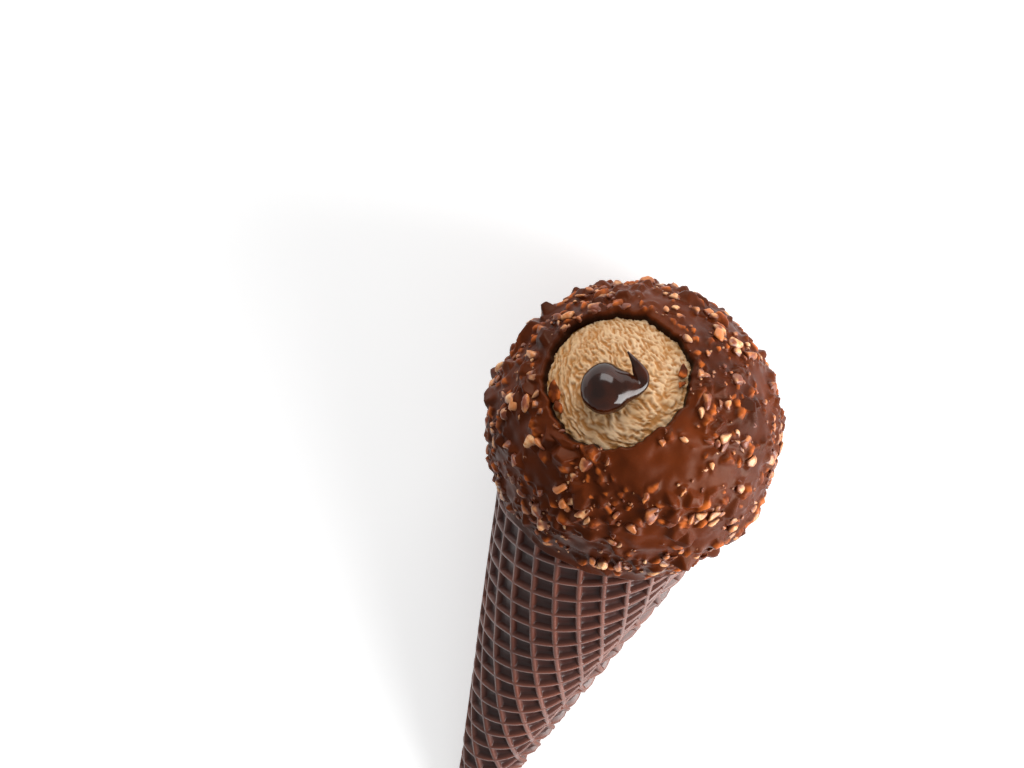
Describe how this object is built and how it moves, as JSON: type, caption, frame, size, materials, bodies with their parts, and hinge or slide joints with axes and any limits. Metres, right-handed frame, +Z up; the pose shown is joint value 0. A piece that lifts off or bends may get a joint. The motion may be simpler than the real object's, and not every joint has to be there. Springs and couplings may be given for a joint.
{
  "type": "ice cream cone",
  "caption": "Rolled dark waffle cone lying down, with a ball of caramel ice cream coated in milk chocolate and chopped nuts, a round window and a drop of sauce.",
  "frame": {"origin": "on the floor plane, under the middle of the whole object's bounding box", "axes": "+X from the waffle's tip towards the ball, +Z up, away from the floor that the cone lies on"},
  "size_m": [0.143, 0.055, 0.0545],
  "materials": {
    "waffle": "dark baked cocoa waffle, slightly shiny on the ribs",
    "ice_cream": "scooped caramel ice cream, rough and pale",
    "chocolate": "milk chocolate with a soft satin gloss",
    "sauce": "very dark wet chocolate sauce",
    "nuts": "chopped roasted nuts, pale where cut"
  },
  "bodies": {
    "root": {"waffle_cone": "waffle", "ice_cream": "ice_cream", "chocolate_coat": "chocolate", "sauce_drop": "sauce"}
  },
  "joints": []
}
